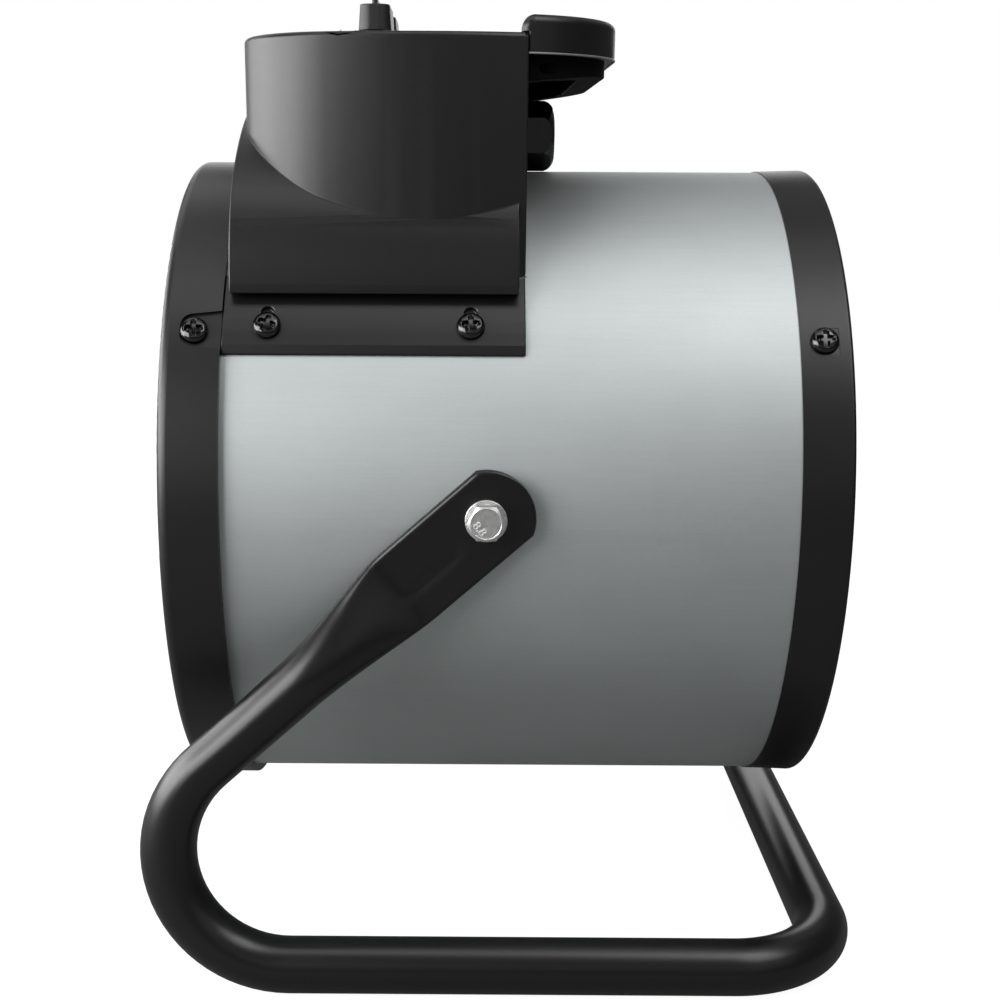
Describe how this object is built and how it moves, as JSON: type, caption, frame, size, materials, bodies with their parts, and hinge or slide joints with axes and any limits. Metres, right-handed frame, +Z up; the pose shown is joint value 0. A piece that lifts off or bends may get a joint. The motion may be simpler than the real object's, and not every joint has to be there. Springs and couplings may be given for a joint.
{
  "type": "forced air heater",
  "caption": "Portable drum heater: steel drum with fan and ring elements, control housing with carrying handle, tilting in a bent tube floor stand.",
  "frame": {"origin": "middle of the stand's footprint on the floor", "axes": "+X from the intake to the outlet along the drum, +Y to the left seen from behind the intake, +Z up"},
  "size_m": [0.284, 0.34, 0.3802],
  "materials": {
    "drum_steel": "satin, brushed along the drum, zinc coated",
    "housing_plastic": "fine moulded grain",
    "knob_plastic": "satin",
    "panel_plastic": "satin film",
    "black_screw": "gloss black oxide",
    "grille_steel": "satin powder coat",
    "stand_paint": "semi-gloss powder coat",
    "zinc": "bright zinc plate",
    "nylon": "plain",
    "sheet_steel": "galvanised",
    "motor_case": "matt",
    "bright_steel": "ground",
    "fan_aluminium": "pressed sheet",
    "control_plastic": "moulded",
    "gland_plastic": "polished nylon",
    "seal_rubber": "matt",
    "element_steel": "heat tinted",
    "ceramic": null
  },
  "bodies": {
    "stand": {"stand_tube": "stand_paint"},
    "heater": {"drum_shell": "drum_steel", "rear_ring": "housing_plastic", "front_ring": "housing_plastic", "rear_ring_screws": "black_screw", "front_ring_screws": "black_screw", "rear_grille": "grille_steel", "front_grille": "grille_steel", "friction_washers": "nylon", "pivot_washers": "zinc", "pivot_bolts": "zinc", "pivot_nuts": "zinc", "pivot_plates": "sheet_steel", "control_housing": "housing_plastic", "control_panel": "panel_plastic", "selector_switch": "control_plastic", "room_thermostat": "control_plastic", "terminal_block": "control_plastic", "handle": "housing_plastic", "handle_screws": "zinc", "gland_body": "gland_plastic", "gland_seal": "seal_rubber", "gland_cap": "gland_plastic", "gland_locknut": "gland_plastic", "housing_screws": "black_screw", "inner_duct": "sheet_steel", "duct_brackets": "sheet_steel", "fan_motor": "motor_case", "motor_bracket": "sheet_steel", "heating_element_inner": "element_steel", "heating_element_middle": "element_steel", "heating_element_outer": "element_steel", "element_bushes": "ceramic", "element_support": "sheet_steel", "thermal_cutout": "control_plastic"},
    "fan": {"motor_shaft": "bright_steel", "fan_impeller": "fan_aluminium", "fan_nut": "zinc"},
    "selector": {"selector_knob": "knob_plastic", "selector_spindle": "bright_steel"},
    "thermostat": {"thermostat_knob": "knob_plastic", "thermostat_spindle": "bright_steel"}
  },
  "joints": [
    {"name": "tilt", "type": "hinge", "parent": "stand", "child": "heater", "pos_m": [-0.00944, 0, 0.1854], "axis": [0, 1, 0], "range_deg": [-20, 20]},
    {"name": "fan_spin", "type": "hinge", "parent": "heater", "child": "fan", "pos_m": [-0.00194, 0, 0.1773], "axis": [1, 0, 0], "continuous": true},
    {"name": "selector_turn", "type": "hinge", "parent": "heater", "child": "selector", "pos_m": [-0.05534, -0.026, 0.364], "axis": [0, 0, 1], "range_deg": [0, 135]},
    {"name": "thermostat_turn", "type": "hinge", "parent": "heater", "child": "thermostat", "pos_m": [-0.05534, 0.026, 0.364], "axis": [0, 0, 1], "range_deg": [0, 270]}
  ]
}
